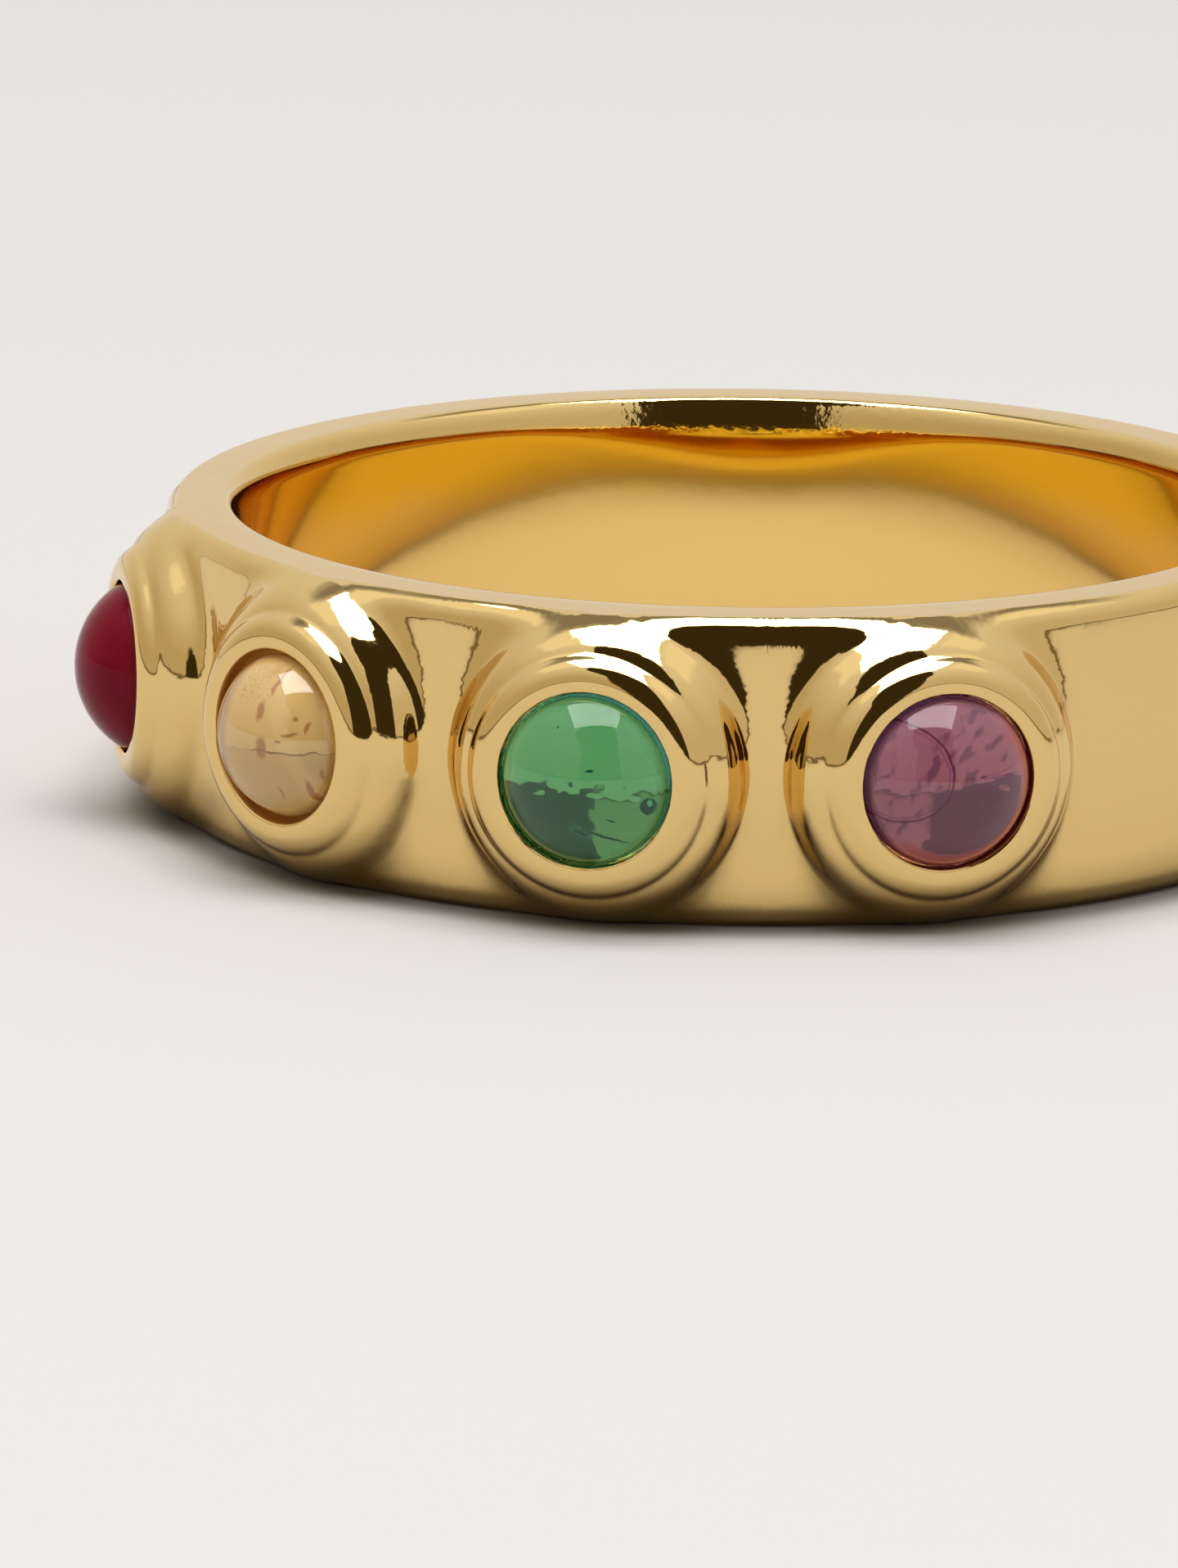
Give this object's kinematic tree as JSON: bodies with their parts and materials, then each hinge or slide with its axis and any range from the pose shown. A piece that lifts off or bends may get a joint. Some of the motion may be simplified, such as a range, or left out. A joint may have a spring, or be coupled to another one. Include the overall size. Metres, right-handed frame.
{
  "type": "gemstone ring",
  "caption": "Polished gold band ring with round cabochons held in stepped round collars along one side, lying on its side.",
  "frame": {"origin": "centre of the finger hole, halfway across the band's width", "axes": "+Z along the finger, out of the upper rim as the ring lies on its side; -Y points at the middle of the row of stones, with the red stone towards -X and the purple stone towards +X"},
  "size_m": [0.02, 0.0212, 0.0052],
  "materials": {
    "gold": "hand-polished yellow gold plating",
    "red_stone": "polished deep red cabochon",
    "champagne_stone": "polished, nearly clear pale gold cabochon with brown inclusions",
    "green_stone": "polished green cabochon with a bubble and a dark speck",
    "purple_stone": "polished mauve cabochon"
  },
  "bodies": {
    "root": {"band": "gold", "stone_red": "red_stone", "stone_champagne": "champagne_stone", "stone_green": "green_stone", "stone_purple": "purple_stone"}
  },
  "joints": []
}
